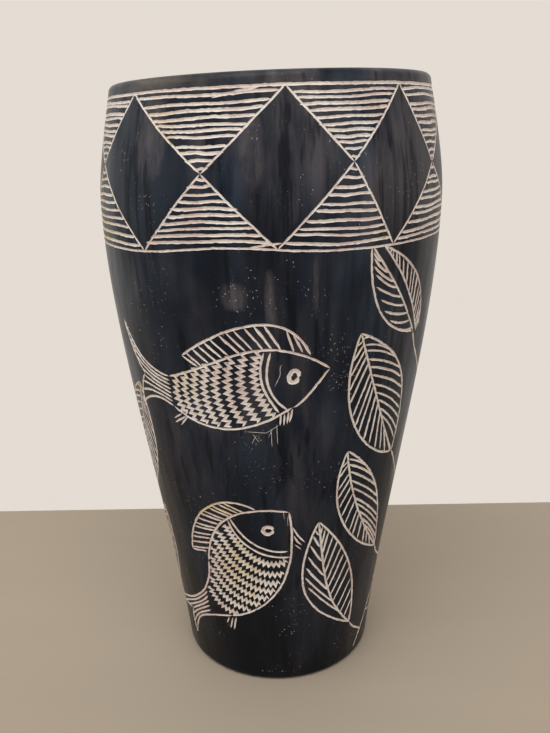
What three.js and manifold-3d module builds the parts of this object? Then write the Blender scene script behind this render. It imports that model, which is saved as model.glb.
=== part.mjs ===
// A soapstone vase carved from one stone. It is dyed black, and its ornament is incised through
// the dye: a band of diamonds under the rim, and below it two pairs of fish and two leafy vines.
// Millimetres, +Z up, origin at the middle of the foot. Azimuths are degrees round the vase,
// from 0 at the front (-Y) towards +X, and the figures come twice, half a turn apart.
import * as THREE from 'three';
import { mergeVertices } from 'three/addons/utils/BufferGeometryUtils.js';
import Module from 'manifold-3d';

// Outside of the stone: radii, heights, and how far each end of a curve keeps its direction
const height = 250;
const footRadius = 42.5;
const footFlare = 0.1;
const footSweep = 70;
const bellyRadius = 69;
const bellyHeight = 205;
const bellySweep = 55;
const shoulderSweep = 14;
const rimRadius = 62.3;
const rimTaper = 0.19;
const rimSweep = 12;
const rimRise = 1.5;

// Edges and hollow
const footRound = 2.5;
const rimRound = 2.6;
const mouthRound = 1.6;
const wall = 8.5;
const floorThickness = 14;
const floorRound = 12;

// Incised lines
const lineWidth = 1.1;
const lineDepth = 0.6;
const fineWidth = 1;
const fineDepth = 0.5;
const lineStep = 14;
const lineTurn = 10;
const cutterRise = 1.1;
const endRise = 0.3;

// Band of diamonds: the places where neighbours touch, each as its azimuth and its share of the
// band's height, and the azimuths of the diamonds' tops and feet
const bandDrop = 4.8;
const bandHeight = 53.2;
const diamondCorners = [
  [-66, 0.56], [-20, 0.5], [24, 0.54], [60, 0.5], [107, 0.53], [154, 0.48], [200, 0.53], [247, 0.51],
];
const diamondTops = [-47, 4.5, 44, 83.5, 130.5, 178, 222, 270.5];
const diamondFeet = [-41, 1.5, 38, 83, 131, 176.5, 225, 270];

// Facets
const roundSegments = 48;
const sideSteps = 8;
const shoulderSteps = 3;
const hollowSteps = 4;
const edgeSteps = 2;
const eyeSides = 8;
const lengthSamples = 8;

// Fish and leaves are drawn in the panel between the foot and the band, each place as its
// azimuth and its height in hundredths of the panel. A curve has two ends and two guides.
const figureTurns = [0, 180];
const eyeHalfWidth = 1.9;
const eyeHalfHeight = 2.4;
const upperFish = {
  back: [[18, 78], [-5, 87.5], [-14, 79.5], [-38, 75.5]],
  under: [
    [[18, 78], [11.5, 73], [7.5, 70.5], [6, 70.5]],
    [[6, 70.5], [-8.5, 65.5], [-21.5, 63.5], [-38, 69]],
  ],
  gills: [
    [[-3, 82], [-6.5, 76.5], [-3, 73], [1.5, 69.5]],
    [[-1, 82], [-3.5, 77.5], [-3, 73], [4.5, 70]],
  ],
  eye: [6, 77],
  fin: [[11.5, 81], [4, 90.5], [-11, 88.5], [-31, 80.5]],
  finEnd: [-25, 78.5],
  finRays: 14,
  rayTops: [0.23, 0.96],
  rayFeet: [0.13, 0.78],
  raySlant: 1.3,
  tailTop: [[-38, 75.5], [-52, 76], [-58, 81.5], [-62, 85]],
  tailBottom: [[-38, 69], [-47, 71.5], [-53.5, 69], [-58.5, 67]],
  tailRoot: 0,
  tailRays: 6,
  fork: 0.5,
};
const lowerFish = {
  back: [[5, 46.5], [-14.5, 48.5], [-30, 44], [-34.5, 31.5]],
  under: [[[5, 46.5], [10, 32], [3, 21.5], [-25, 17.5]]],
  gills: [
    [[-21, 44], [-19, 38.5], [-8, 34.5], [6, 35]],
    [[-20, 44.5], [-15, 38.5], [-5, 36], [5, 36.5]],
  ],
  eye: [-4, 42],
  fin: [[-8.5, 47], [-25, 52], [-41.5, 42.5], [-44.5, 33]],
  finEnd: [-34.5, 34],
  finRays: 15,
  rayTops: [0.25, 0.97],
  rayFeet: [0.3, 0.92],
  raySlant: 1,
  tailTop: [[-34.5, 31.5], [-36.5, 18], [-60, 17], [-80, 11.5]],
  tailBottom: [[-25, 17.5], [-48, 14.5], [-54, 12.5], [-58, 6]],
  tailRoot: 0.25,
  tailRays: 5,
  fork: 0.3,
};
const topLeaf = [
  [[30, 100], [30, 91], [34.5, 83], [54.5, 81.5]],
  [[30.5, 100], [38, 94.5], [47, 87.5], [55, 81.5]],
  [[34.5, 100], [48, 92], [56.5, 82.5], [57.5, 81]],
  [[34.5, 100], [52.5, 95.5], [60.5, 89], [59, 82]],
  [[55, 81.5], [57.5, 77.5], [66, 72], [83.5, 67]],
];
const upperLeaf = {
  tip: [28.5, 84],
  base: [55.5, 54.5],
  left: [[19, 69], [32.5, 56.5]],
  right: [[55, 77], [58.5, 66]],
  rib: [[35, 73.5], [42, 63]],
  stalk: [[63, 50], [68, 46], [84.5, 41]],
};
const middleLeaf = {
  tip: [28, 59],
  base: [59, 29.5],
  left: [[17, 43], [39, 33.5]],
  right: [[53.5, 49], [55.5, 35.5]],
  rib: [[32, 45.5], [44, 36.5]],
  stalk: [[61.5, 27], [68.5, 24], [85.5, 21.5]],
};
const lowerLeaf = {
  tip: [18, 43],
  base: [44.5, 11.5],
  left: [[2.5, 24.5], [17, 18.5]],
  right: [[31.5, 36], [44.5, 27]],
  rib: [[22.5, 29], [24, 20]],
  stalk: [[48.5, 8.5], [55, 7.5], [60, 5.5]],
};
const vineStem = [[52, 0.5], [72, 14], [90, 30], [83.5, 68]];
const farLeaves = [
  { like: upperLeaf, moved: [-17.5, -12.5] },
  { like: middleLeaf, moved: [-26, -19] },
];

const bandTop = height - bandDrop;
const bandBottom = bandTop - bandHeight;

const wasm = await Module();
wasm.setup();

// Outline of the side from the foot to the rim, as radii and heights
const side = new THREE.CubicBezierCurve(
  new THREE.Vector2(footRadius, 0),
  new THREE.Vector2(footRadius + footFlare * footSweep, footSweep),
  new THREE.Vector2(bellyRadius, bellyHeight - bellySweep),
  new THREE.Vector2(bellyRadius, bellyHeight),
);
const shoulder = new THREE.CubicBezierCurve(
  new THREE.Vector2(bellyRadius, bellyHeight),
  new THREE.Vector2(bellyRadius, bellyHeight + shoulderSweep),
  new THREE.Vector2(rimRadius + rimTaper * rimSweep, height - rimSweep),
  new THREE.Vector2(rimRadius, height),
);
const outline = [
  ...side.getSpacedPoints(sideSteps),
  ...shoulder.getSpacedPoints(shoulderSteps).slice(1),
];

// Radius of the outside at a height
function outerRadius(z) {
  const above = outline.findIndex((point) => point.y >= z);
  const next = above < 0 ? outline.length - 1 : Math.max(1, above);
  const [low, high] = [outline[next - 1], outline[next]];
  return THREE.MathUtils.mapLinear(z, low.y, high.y, low.x, high.x);
}

// Quarter round about a centre, from one angle to another, as points of the section
function quarter(radius, centreX, centreY, from, to) {
  return new THREE.EllipseCurve(centreX, centreY, radius, radius, from, to, to < from).getPoints(edgeSteps);
}

// V-shaped notch of a line that runs right round the vase
function ringNotch(z) {
  const edge = lineWidth / 2;
  return [
    new THREE.Vector2(outerRadius(z - edge), z - edge),
    new THREE.Vector2(outerRadius(z) - lineDepth, z),
    new THREE.Vector2(outerRadius(z + edge), z + edge),
  ];
}

// Section of the stone, from the axis under the foot round to the axis on the hollow's floor
function section() {
  const nearNotch = (z) => Math.min(Math.abs(z - bandTop), Math.abs(z - bandBottom)) < lineWidth;
  const plain = outline.filter(({ y }) => y > footRound && y < height - rimRound && !nearNotch(y));
  const outside = [...plain, ...ringNotch(bandBottom), ...ringNotch(bandTop)];
  outside.sort((a, b) => a.y - b.y);
  const footCentre = outerRadius(footRound) - footRound;
  const rimCentre = outerRadius(height - rimRound) - rimRound;
  const mouthCentre = rimRadius - wall + mouthRound;
  const floorEdge = floorThickness + floorRound;
  const floorCentre = outerRadius(floorEdge) - wall - floorRound;
  const inside = Array.from({ length: hollowSteps }, (_, i) => {
    const z = THREE.MathUtils.lerp(height - mouthRound, floorEdge, (i + 1) / (hollowSteps + 1));
    return new THREE.Vector2(outerRadius(z) - wall, z);
  });
  return [
    new THREE.Vector2(0, 0),
    ...quarter(footRound, footCentre, footRound, -Math.PI / 2, 0),
    ...outside,
    ...quarter(rimRound, rimCentre, height - rimRound, 0, Math.PI / 2),
    ...quarter(mouthRound, mouthCentre, height - mouthRound, Math.PI / 2, Math.PI),
    ...inside,
    ...quarter(floorRound, floorCentre, floorEdge, 0, -Math.PI / 2),
    new THREE.Vector2(0, floorThickness),
  ];
}

// Solid from a closed geometry, with shared vertices merged
function solid(geometry) {
  geometry.deleteAttribute('normal');
  geometry.deleteAttribute('uv');
  const merged = mergeVertices(geometry);
  return new wasm.Manifold(new wasm.Mesh({
    numProp: 3,
    vertProperties: merged.attributes.position.array,
    triVerts: new Uint32Array(merged.index.array),
  }));
}

// Point in space at an azimuth and a height, lifted off the stone by a distance
function onStone([azimuth, z], lift) {
  const angle = THREE.MathUtils.degToRad(azimuth);
  const radius = outerRadius(z) + lift;
  return new THREE.Vector3(radius * Math.sin(angle), -radius * Math.cos(angle), z);
}

// Place in the panel as its azimuth and its height in millimetres
function panel([azimuth, share]) {
  return [azimuth, (share / 100) * bandBottom];
}

// Curved line through the panel, as a function that is 0 at its start and 1 at its end
function bend(...guides) {
  const places = guides.map((guide) => new THREE.Vector2(...panel(guide)));
  const curve = new THREE.CubicBezierCurve(...places);
  return (share) => curve.getPoint(share).toArray();
}

// Straight line between two places, as such a function
function straight(start, end) {
  return (share) => start.map((value, i) => THREE.MathUtils.lerp(value, end[i], share));
}

// Oval line about a place, as such a function
function oval([azimuth, z], halfWidth, halfHeight) {
  const spread = THREE.MathUtils.radToDeg(halfWidth / outerRadius(z));
  return (share) => {
    const turn = 2 * Math.PI * share;
    return [azimuth + spread * Math.cos(turn), z + halfHeight * Math.sin(turn)];
  };
}

// Incised line with places close enough together to follow the stone
function incise(line, width = lineWidth, depth = lineDepth, fewest = 2) {
  const samples = Array.from({ length: lengthSamples + 1 }, (_, i) => line(i / lengthSamples));
  const travel = (step) => samples.slice(1).reduce((sum, place, i) => sum + step(place, samples[i]), 0);
  const length = travel((a, b) => onStone(a, 0).distanceTo(onStone(b, 0)));
  const turn = travel((a, b) => Math.abs(a[0] - b[0]));
  const steps = Math.max(fewest, Math.ceil(length / lineStep), Math.ceil(turn / lineTurn));
  return { places: Array.from({ length: steps + 1 }, (_, i) => line(i / steps)), width, depth };
}

// Thin incised line
function fine(line) {
  return incise(line, fineWidth, fineDepth);
}

// Lines that draw the band's diamonds, each from corner to corner over its top and under its foot
function diamonds() {
  const corner = (i) => {
    const [azimuth, share] = diamondCorners[i % diamondCorners.length];
    const turns = Math.floor(i / diamondCorners.length);
    return [azimuth + 360 * turns, bandBottom + share * bandHeight];
  };
  return diamondCorners.flatMap((_, i) => {
    const ends = [[diamondTops[i], bandTop], [diamondFeet[i], bandBottom]];
    return ends.flatMap((end) => [corner(i), corner(i + 1)].map((side) => incise(straight(side, end))));
  });
}

// Fish with its back, belly, gills and eye, its rayed back fin and its forked tail
function fish(shape) {
  const back = bend(...shape.back);
  const fin = bend(...shape.fin);
  const tailTop = bend(...shape.tailTop);
  const tailBottom = bend(...shape.tailBottom);
  const tail = (across, along) => straight(tailTop(along), tailBottom(along))(across);
  const tailEnd = (across) => 1 - shape.fork * (1 - Math.abs(2 * across - 1));
  const lobe = (first) => (share) => {
    const across = first + share / 2;
    return tail(across, tailEnd(across));
  };
  const tailRays = Array.from({ length: shape.tailRays }, (_, i) => {
    const across = (i + 1) / (shape.tailRays + 1);
    return (share) => tail(across, THREE.MathUtils.lerp(shape.tailRoot, tailEnd(across), share));
  });
  const finRays = Array.from({ length: shape.finRays }, (_, i) => {
    const along = i / (shape.finRays - 1);
    const top = fin(THREE.MathUtils.lerp(...shape.rayTops, along));
    return straight(top, back(THREE.MathUtils.lerp(...shape.rayFeet, along ** shape.raySlant)));
  });
  const curves = [...shape.under, ...shape.gills].map((guides) => bend(...guides));
  const finEnd = straight(fin(1), panel(shape.finEnd));
  return [
    ...[back, ...curves, fin, finEnd, tailTop, tailBottom, lobe(0), lobe(0.5)].map((line) => incise(line)),
    ...[...finRays, ...tailRays].map(fine),
    incise(oval(panel(shape.eye), eyeHalfWidth, eyeHalfHeight), lineWidth, lineDepth, eyeSides),
  ];
}

// Leaf with its two edges, its midrib and the stalk that joins it to the vine
function leaf({ tip, base, left, right, rib, stalk }) {
  const curves = [left, right, rib].map((guides) => bend(tip, ...guides, base));
  return [...curves, bend(base, ...stalk)].map((line) => incise(line));
}

// Leaf like another on the far side of the vine's stem, moved round and up, without a stalk
function farLeaf({ like, moved: [round, up] }) {
  const stemAzimuth = vineStem.at(-1)[0];
  const place = ([azimuth, share]) => [2 * stemAzimuth - azimuth + round, share + up];
  const curves = [like.left, like.right, like.rib].map((guides) => [like.tip, ...guides, like.base]);
  return curves.map((guides) => incise(bend(...guides.map(place))));
}

// All figures of one half of the vase
function figures() {
  return [
    ...[upperFish, lowerFish].flatMap(fish),
    ...[...topLeaf, vineStem].map((guides) => incise(bend(...guides))),
    ...[upperLeaf, middleLeaf, lowerLeaf].flatMap(leaf),
    ...farLeaves.flatMap(farLeaf),
  ];
}

// The same incised line, turned round the vase
function turned({ places, width, depth }, turn) {
  return { places: places.map(([azimuth, z]) => [azimuth + turn, z]), width, depth };
}

// Cutter of an incised line: a V that follows the stone and runs out to a point at both ends
function cutter({ places, width, depth }) {
  const half = ((width / 2) * (depth + cutterRise)) / depth;
  const spine = places.map((place) => onStone(place, 0));
  const points = [onStone(places[0], endRise)];
  for (let i = 1; i < places.length - 1; i += 1) {
    const out = onStone(places[i], 1).sub(spine[i]);
    const along = spine[i + 1].clone().sub(spine[i - 1]);
    const across = new THREE.Vector3().crossVectors(along, out).setLength(half);
    const top = spine[i].clone().addScaledVector(out, cutterRise);
    points.push(top.clone().sub(across), top.add(across), spine[i].clone().addScaledVector(out, -depth));
  }
  points.push(onStone(places.at(-1), endRise));
  const last = points.length - 1;
  const faces = [];
  for (const [a, b] of [[0, 1], [1, 2], [2, 0]]) {
    faces.push(0, 1 + b, 1 + a, last, last - 3 + a, last - 3 + b);
    for (let i = 1; i < last - 3; i += 3) {
      faces.push(i + a, i + b, i + 3 + b, i + a, i + 3 + b, i + 3 + a);
    }
  }
  const geometry = new THREE.BufferGeometry().setFromPoints(points);
  geometry.setIndex(faces);
  return solid(geometry);
}

// Raises the rim on its +X side and lowers it on the other, a little less towards the flat foot
function leanRim(geometry) {
  const position = geometry.attributes.position;
  for (let i = 0; i < position.count; i += 1) {
    const lean = (rimRise * position.getX(i)) / (rimRadius * height);
    position.setZ(i, position.getZ(i) * (1 + lean));
  }
  return geometry;
}

// The stone with all its incised lines
function vaseGeometry() {
  const turnedSection = new THREE.LatheGeometry(section(), roundSegments).rotateX(Math.PI / 2);
  const lines = figureTurns.flatMap((turn) => figures().map((line) => turned(line, turn)));
  const carved = solid(turnedSection).subtract(wasm.Manifold.union([...diamonds(), ...lines].map(cutter)));
  const { vertProperties, triVerts } = carved.getMesh();
  const geometry = new THREE.BufferGeometry();
  geometry.setAttribute('position', new THREE.BufferAttribute(vertProperties, 3));
  geometry.setIndex(new THREE.BufferAttribute(triVerts, 1));
  return leanRim(geometry);
}

const dyedStone = new THREE.MeshStandardMaterial({ color: 0x171b22, roughness: 0.42, metalness: 0 });
const vaseBody = new THREE.Mesh(vaseGeometry(), dyedStone);
vaseBody.name = 'vase_body';

const vase = new THREE.Group();
vase.add(vaseBody);

export default vase;
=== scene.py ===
# Soapstone vase: one stone, hollowed and dyed black, with its ornament incised through the dye.
# Metres, +Z up, origin at the middle of the foot. Azimuths run round the vase from 0 at the front
# (-Y) towards +X. Figures are drawn in the panel between the foot and the band of diamonds.
import math
import random
from typing import NamedTuple

import bmesh
import bpy
import numpy as np
from bpy.props import FloatProperty, FloatVectorProperty, IntProperty, PointerProperty
from bpy.types import Operator, Panel, PropertyGroup
from mathutils import Matrix, Vector
from mathutils.geometry import delaunay_2d_cdt
from mathutils.kdtree import KDTree


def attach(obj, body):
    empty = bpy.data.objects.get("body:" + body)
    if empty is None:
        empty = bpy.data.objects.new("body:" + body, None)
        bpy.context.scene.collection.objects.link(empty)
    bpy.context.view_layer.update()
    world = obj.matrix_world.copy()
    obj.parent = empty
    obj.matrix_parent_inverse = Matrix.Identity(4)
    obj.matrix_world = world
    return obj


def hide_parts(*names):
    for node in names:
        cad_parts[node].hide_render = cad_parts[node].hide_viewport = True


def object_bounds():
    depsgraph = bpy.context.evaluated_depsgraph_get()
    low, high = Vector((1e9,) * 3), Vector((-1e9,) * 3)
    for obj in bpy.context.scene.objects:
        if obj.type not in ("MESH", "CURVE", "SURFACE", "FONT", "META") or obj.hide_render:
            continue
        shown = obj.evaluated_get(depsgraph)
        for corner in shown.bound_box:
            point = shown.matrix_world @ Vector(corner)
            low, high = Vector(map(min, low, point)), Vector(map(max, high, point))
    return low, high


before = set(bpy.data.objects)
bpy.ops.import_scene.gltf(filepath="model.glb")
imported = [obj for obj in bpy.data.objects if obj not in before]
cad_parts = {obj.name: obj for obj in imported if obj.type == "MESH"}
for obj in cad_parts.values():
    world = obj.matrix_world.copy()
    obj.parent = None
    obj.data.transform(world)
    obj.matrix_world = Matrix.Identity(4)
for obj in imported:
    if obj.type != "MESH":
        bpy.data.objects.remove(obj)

bl_info = {
    "name": "Incised Soapstone Vase",
    "version": (1, 0, 0),
    "blender": (4, 5, 0),
    "location": "View3D > Sidebar > Vase",
    "description": "Builds a dyed soapstone vase with incised diamonds, fish and leaves",
    "category": "Object",
}

CAD_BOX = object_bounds()
NODE = "vase_body"
MM = 0.001

# Outside of the stone, beside the sizes in the property group
FOOT_FLARE = 0.1
FOOT_SWEEP = 70 * MM
BELLY_SWEEP = 55 * MM
SHOULDER_SWEEP = 14 * MM
RIM_TAPER = 0.19
RIM_SWEEP = 12 * MM
RIM_RISE = 1.5 * MM
FOOT_ROUND = 2.5 * MM
RIM_ROUND = 2.6 * MM
MOUTH_ROUND = 1.6 * MM
FLOOR_ROUND = 12 * MM

# Band of diamonds: the places where neighbours touch, each as its azimuth and its share of the
# band's height, the azimuths of the diamonds' tops and feet, the rows of hatching above and below,
# and how long a piece of a ring line is and how far it runs over the next, in degrees
BAND_DROP = 4.8 * MM
BAND_HEIGHT = 53.2 * MM
DIAMOND_CORNERS = [
    (-66, 0.56), (-20, 0.5), (24, 0.54), (60, 0.5), (107, 0.53), (154, 0.48), (200, 0.53),
    (247, 0.51),
]
DIAMOND_TOPS = [-47, 4.5, 44, 83.5, 130.5, 178, 222, 270.5]
DIAMOND_FEET = [-41, 1.5, 38, 83, 131, 176.5, 225, 270]
HATCH_ROWS = (11, 10)
RING_PIECE = 90
RING_OVERLAP = 1

# The hand-cut lower ring line rises a little above its level: how far, where and how broadly
RING_LIFT = 2.5 * MM
LIFT_AZIMUTH = math.radians(-12)
LIFT_BREADTH = math.radians(20)

# Facets of the mesh. MERGE_FLAT lies on the flat map, where the foot's radius is 1, and HOLE_SLACK
# is a share of it.
ROUND_STEPS = 160
OUTLINE_SAMPLES = 96
EDGE_STEPS = 6
HOLLOW_STEPS = 40
POINT_STEP = 1.25 * MM
TRACE_SAMPLES = 49
MITRE_LIMIT = 1.7
CLEAR_OF_LINE = 0.85 * MM
MERGE_FLAT = 2e-5
MERGE_RING = 0.02 * MM
HOLE_SLACK = 1e-4
TINY = 1e-9

# Figures: places are an azimuth and a height in hundredths of the panel. A fan of veins or rays has
# its count, then its first and last share of the line it starts from and how its spacing grows, the
# same for the line it ends on, how far it bows up in the middle, and the share of its length by which
# it stops short.

# Fish: an eye has its half width and half height, its line's width and its tilt, a tail its count of
# rays, where they start and how deeply it is forked, and the scales' zigzag its swing, the length of
# a tooth and its width
UPPER_FISH = {
    "back": [(18, 78), (-5, 87.5), (-14, 79.5), (-38, 75.5)],
    "belly": [
        [(18, 78), (11.5, 73), (7.5, 70.5), (6, 70.5)],
        [(6, 70.5), (-8.5, 65.5), (-21.5, 63.5), (-38, 69)],
    ],
    "gills": [
        [(-3, 82), (-6.5, 76.5), (-3, 73), (1.5, 69.5)],
        [(-1, 82), (-3.5, 77.5), (-3, 73), (4.5, 70)],
    ],
    "eye": (6.2, 76.9),
    "eye_size": (1.65 * MM, 2.35 * MM, 1.6 * MM, 18),
    "fin": [(11.5, 81), (4, 90.5), (-11, 88.5), (-31, 80.5)],
    "fin_end": (-25, 78.5),
    "fin_rays": (12, (0.276, 0.97, 0.6), (0.189, 0.774, 0.9), 0, 0),
    "tail_top": [(-38, 75.5), (-52, 76), (-58, 81.5), (-62, 85)],
    "tail_foot": [(-38, 69), (-47, 71.5), (-53.5, 69), (-58.5, 67)],
    "tail_rays": (6, 0.0, 0.5),
    "scales": {
        "tops": [(-4.3, 82.4), (-15, 81.6), (-24.5, 78.6), (-34, 76.1)],
        "feet": [(-0.5, 68.5), (-13, 65.6), (-23.5, 65.2), (-32.5, 67.8)],
        "bows": [[(-5, 0), (-5, 0)], [(-3, 0), (-3, 0)]],
        "zigzag": (1.25 * MM, 2.35 * MM, 1.15 * MM),
    },
    "strokes": [
        [(-61.8, 84), (-59.6, 84.3)], [(-61.3, 83.1), (-58.3, 83.4)], [(-60.6, 81.9), (-57, 82.2)],
        [(-60.2, 80.9), (-55.5, 80.7)], [(-59.7, 80.1), (-53.5, 79.4)], [(-58.7, 79), (-51, 77.9)],
        [(7, 85.1), (9.2, 83.3), (11.2, 81.2)], [(5.8, 85.2), (7.5, 83.5), (9, 81.6)],
        [(2, 69.3), (1.7, 66.7)], [(3.3, 69.3), (3, 66.6)], [(4.7, 69.8), (4.1, 67)],
        [(6, 70.3), (5, 67.3)], [(-34.5, 67.7), (-39, 66.2)], [(-33, 67.3), (-39, 65.2)],
        [(-32, 67.4), (-36.3, 64.9)],
    ],
    "scratches": [
        [(2.6, 79.6), (1.8, 79), (1.9, 77.4), (0, 74.9)], [(-10, 65.4), (-3, 65.2), (1.5, 67)],
        [(0.6, 67.2), (0.9, 62.5)], [(-1.4, 66.3), (-1.1, 62)], [(-8, 65), (-5.5, 63)],
        [(-6.4, 64.8), (-8.4, 62.7)], [(-1, 66), (-2.4, 64.2)],
    ],
}
LOWER_FISH = {
    "back": [(5, 46.5), (-14.5, 48.5), (-30, 44), (-34.5, 31.5)],
    "belly": [[(5, 46.5), (10, 32), (3, 21.5), (-25, 17.5)]],
    "gills": [
        [(-21, 44), (-19, 38.5), (-8, 34.5), (6, 35)],
        [(-20, 44.5), (-15, 38.5), (-5, 36), (5, 36.5)],
    ],
    "eye": (-3.8, 42),
    "eye_size": (2 * MM, 1.8 * MM, 1.5 * MM, 0),
    "fin": [(-8.5, 47), (-25, 52), (-41.5, 42.5), (-44.5, 33)],
    "fin_end": (-34.5, 34),
    "fin_rays": (13, (0.285, 0.985, 0.96), (0.337, 0.895, 0.96), 0, 0),
    "tail_top": [(-34.5, 31.5), (-36.5, 18), (-60, 17), (-80, 11.5)],
    "tail_foot": [(-25, 17.5), (-48, 14.5), (-54, 12.5), (-58, 6)],
    "tail_rays": (5, 0.25, 0.3),
    "scales": {
        "tops": [(-22.5, 42.6), (-33.9, 38.1), (-31.8, 31.5), (-36.8, 24)],
        "feet": [(4.6, 33.8), (1.2, 25.9), (-2.9, 22.9), (-21, 18.3)],
        "bows": [[(-5.4, -2.4), (-2.8, -5.8)], [(-3.6, -2), (-1.1, -1.4)]],
        "zigzag": (1.3 * MM, 1.95 * MM, 1.02 * MM),
    },
    "strokes": [
        [(6.5, 42.7), (8.9, 40.4), (12.2, 38.4)], [(7.2, 40.5), (8.8, 38.9), (11, 37.8)],
        [(7.5, 38.2), (10.8, 36.6)], [(-26.8, 16.8), (-28.8, 14.8)], [(-24.5, 17), (-27, 13.5)],
        [(-22.5, 17.4), (-24.8, 13.4)],
    ],
    "scratches": [[(2.6, 47.2), (3.2, 44.6)], [(4.4, 45.6), (4.8, 42.8)]],
}

# Leaves: edges and midrib run from the tip to the base, and veins from the rib to either edge. A
# leaf beyond the vine's stem is another leaf mirrored on it, moved round and up, with its own stalk.
TOP_LEAF = {
    "curves": [
        [(30, 100), (30, 91), (34.5, 83), (54.5, 81.5)],
        [(30.5, 100), (38, 94.5), (47, 87.5), (55, 81.5)],
        [(34.5, 100), (48, 92), (56.5, 82.5), (57.5, 81)],
        [(34.5, 100), (52.5, 95.5), (60.5, 89), (59, 82)],
        [(55, 81.5), (57.5, 77.5), (66, 72), (83.5, 67)],
    ],
    "fans": [
        (1, 0, (9, (0.17, 0.96, 0.95), (0.02, 0.79, 1.55), -0.9 * MM, 0.12)),
        (2, 3, (14, (0.07, 0.95, 1.25), (0.06, 0.9, 1.6), 0, 0.03)),
    ],
}
UPPER_LEAF = {
    "tip": (28.5, 84),
    "base": (55.5, 54.5),
    "left": [(19, 69), (32.5, 56.5)],
    "right": [(55, 77), (58.5, 66)],
    "rib": [(35, 73.5), (42, 63)],
    "stalk": [(63, 50), (68, 46), (84.5, 41)],
    "veins": [
        (14, (0.05, 0.8, 1.33), (0.06, 0.98, 0.95), 0, 0.02),
        (11, (0.04, 0.62, 1.2), (0.08, 0.93, 0.85), 1.1 * MM, 0.03)],
}
MIDDLE_LEAF = {
    "tip": (28, 59),
    "base": (59, 29.5),
    "left": [(17, 43), (39, 33.5)],
    "right": [(53.5, 49), (55.5, 35.5)],
    "rib": [(32, 45.5), (44, 36.5)],
    "stalk": [(61.5, 27), (68.5, 24), (85.5, 21.5)],
    "veins": [
        (13, (0.06, 0.79, 1.3), (0.08, 0.9, 1.05), 0, 0.03),
        (10, (0.05, 0.62, 1.25), (0.16, 0.975, 0.92), 0.8 * MM, 0.03)],
}
LOWER_LEAF = {
    "tip": (18, 43),
    "base": (44.5, 11.5),
    "left": [(2.5, 24.5), (17, 18.5)],
    "right": [(31.5, 36), (44.5, 27)],
    "rib": [(22.5, 29), (24, 20)],
    "stalk": [(48.5, 8.5), (55, 7.5), (60, 5.5)],
    "veins": [
        (7, (0.08, 0.8, 1.2), (0.03, 0.36, 1.45), -0.7 * MM, 0.1),
        (13, (0.08, 0.98, 1.02), (0.05, 0.93, 1.33), 0, 0.02)],
}
VINE_STEM = [(52.5, 1.9), (72, 14), (90, 30), (83.5, 68)]
FAR_LEAVES = [
    (UPPER_LEAF, (-17.5, -12.5), [(90.5, 39), (87, 37.5), (82.5, 35.8)]),
    (MIDDLE_LEAF, (-26, -19), [(77, 8.5), (71, 8), (64.5, 10.2)]),
]
FIGURE_TURNS = [0, 180]
SCALE_ROWS = 8
OVAL_TURNS = 1.04
OVAL_POINTS = 17
BAND_STRAYS = [
    [(-17.2, 126.1), (-12.2, 126.7), (-8.5, 127.1), (-3, 127.4)],
    [(-7, 101.2), (-2, 101.7), (2.8, 101.9)],
]

# The hand: how far a line wanders, in a slow and a quick wave, and how like strokes differ
WANDER = 0.09 * MM
SLOW_WAVE = 7 * MM
QUICK_WAVE = 2.3 * MM
SLOW_SHARE = 0.6
FAN_SPREAD = 0.15
FAN_ENDS = 0.04
FILL_WIDTHS = (0.85, 1.12)
STROKE_WIDTHS = (0.75, 1)
TOOTH_SWINGS = (0.82, 1.12)
END_TAPER = (0.5, 0.3)

# Hatching: where its first row lies and how much room its last leaves, in rows, how unevenly the
# rows lie, its two waves, each with a height, a number and a shift from row to row, and how far in
# millimetres it runs on over its bounds
HATCH_FIRST = 0.9
HATCH_LAST = 0.75
HATCH_SPREAD = 0.16
HATCH_SLANTS = (-0.01, 0.014)
HATCH_WIDTHS = (0.85, 1.15)
HATCH_WAVES = [(0.45 * MM, 2.6, 0.12), (0.16 * MM, 9, 0.9)]
LEAST_OVERSHOOT = 0.15
OVERSHOOT = (0.3, 0.4)

# Wear: clusters of small chips through the dye, each with its azimuth, its height in hundredths of
# the panel, how far it spreads in millimetres and its count, and chips strewn over the rest
CHIP_CLUSTERS = [
    (-5.5, 93, 5, 26), (-11, 92.4, 5, 18), (5, 98, 1, 3), (-48.8, 88, 6, 20),
    (21, 81.4, 2.5, 26), (22.5, 75, 3, 34), (27, 76.4, 2, 12), (-8, 64, 4, 30),
    (5, 14.8, 2.5, 12), (-2.5, 2.6, 3, 8), (-4.2, 120.7, 2, 8), (9.2, 110.8, 2, 8),
    (-37.5, 82, 4, 14), (-40, 45, 4, 12), (17.2, 53.5, 4, 10), (96, 72, 6, 26),
    (141, 31, 7, 22), (178, 55, 5, 26), (203, 108, 5, 16), (236, 62, 6, 24),
    (262, 20, 5, 16), (300, 50, 6, 20),
]
STREWN_CHIPS = 200
STREWN_SPAN = (0.03, 0.97)
LOWEST_CHIP = 5 * MM
CHIP_LENGTHS = (0.2 * MM, 1.1 * MM)
CHIP_WIDTHS = (0.1 * MM, 0.24 * MM)
CHIP_DEPTH = 0.4
SCRATCH_WIDTH = 0.15 * MM

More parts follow.
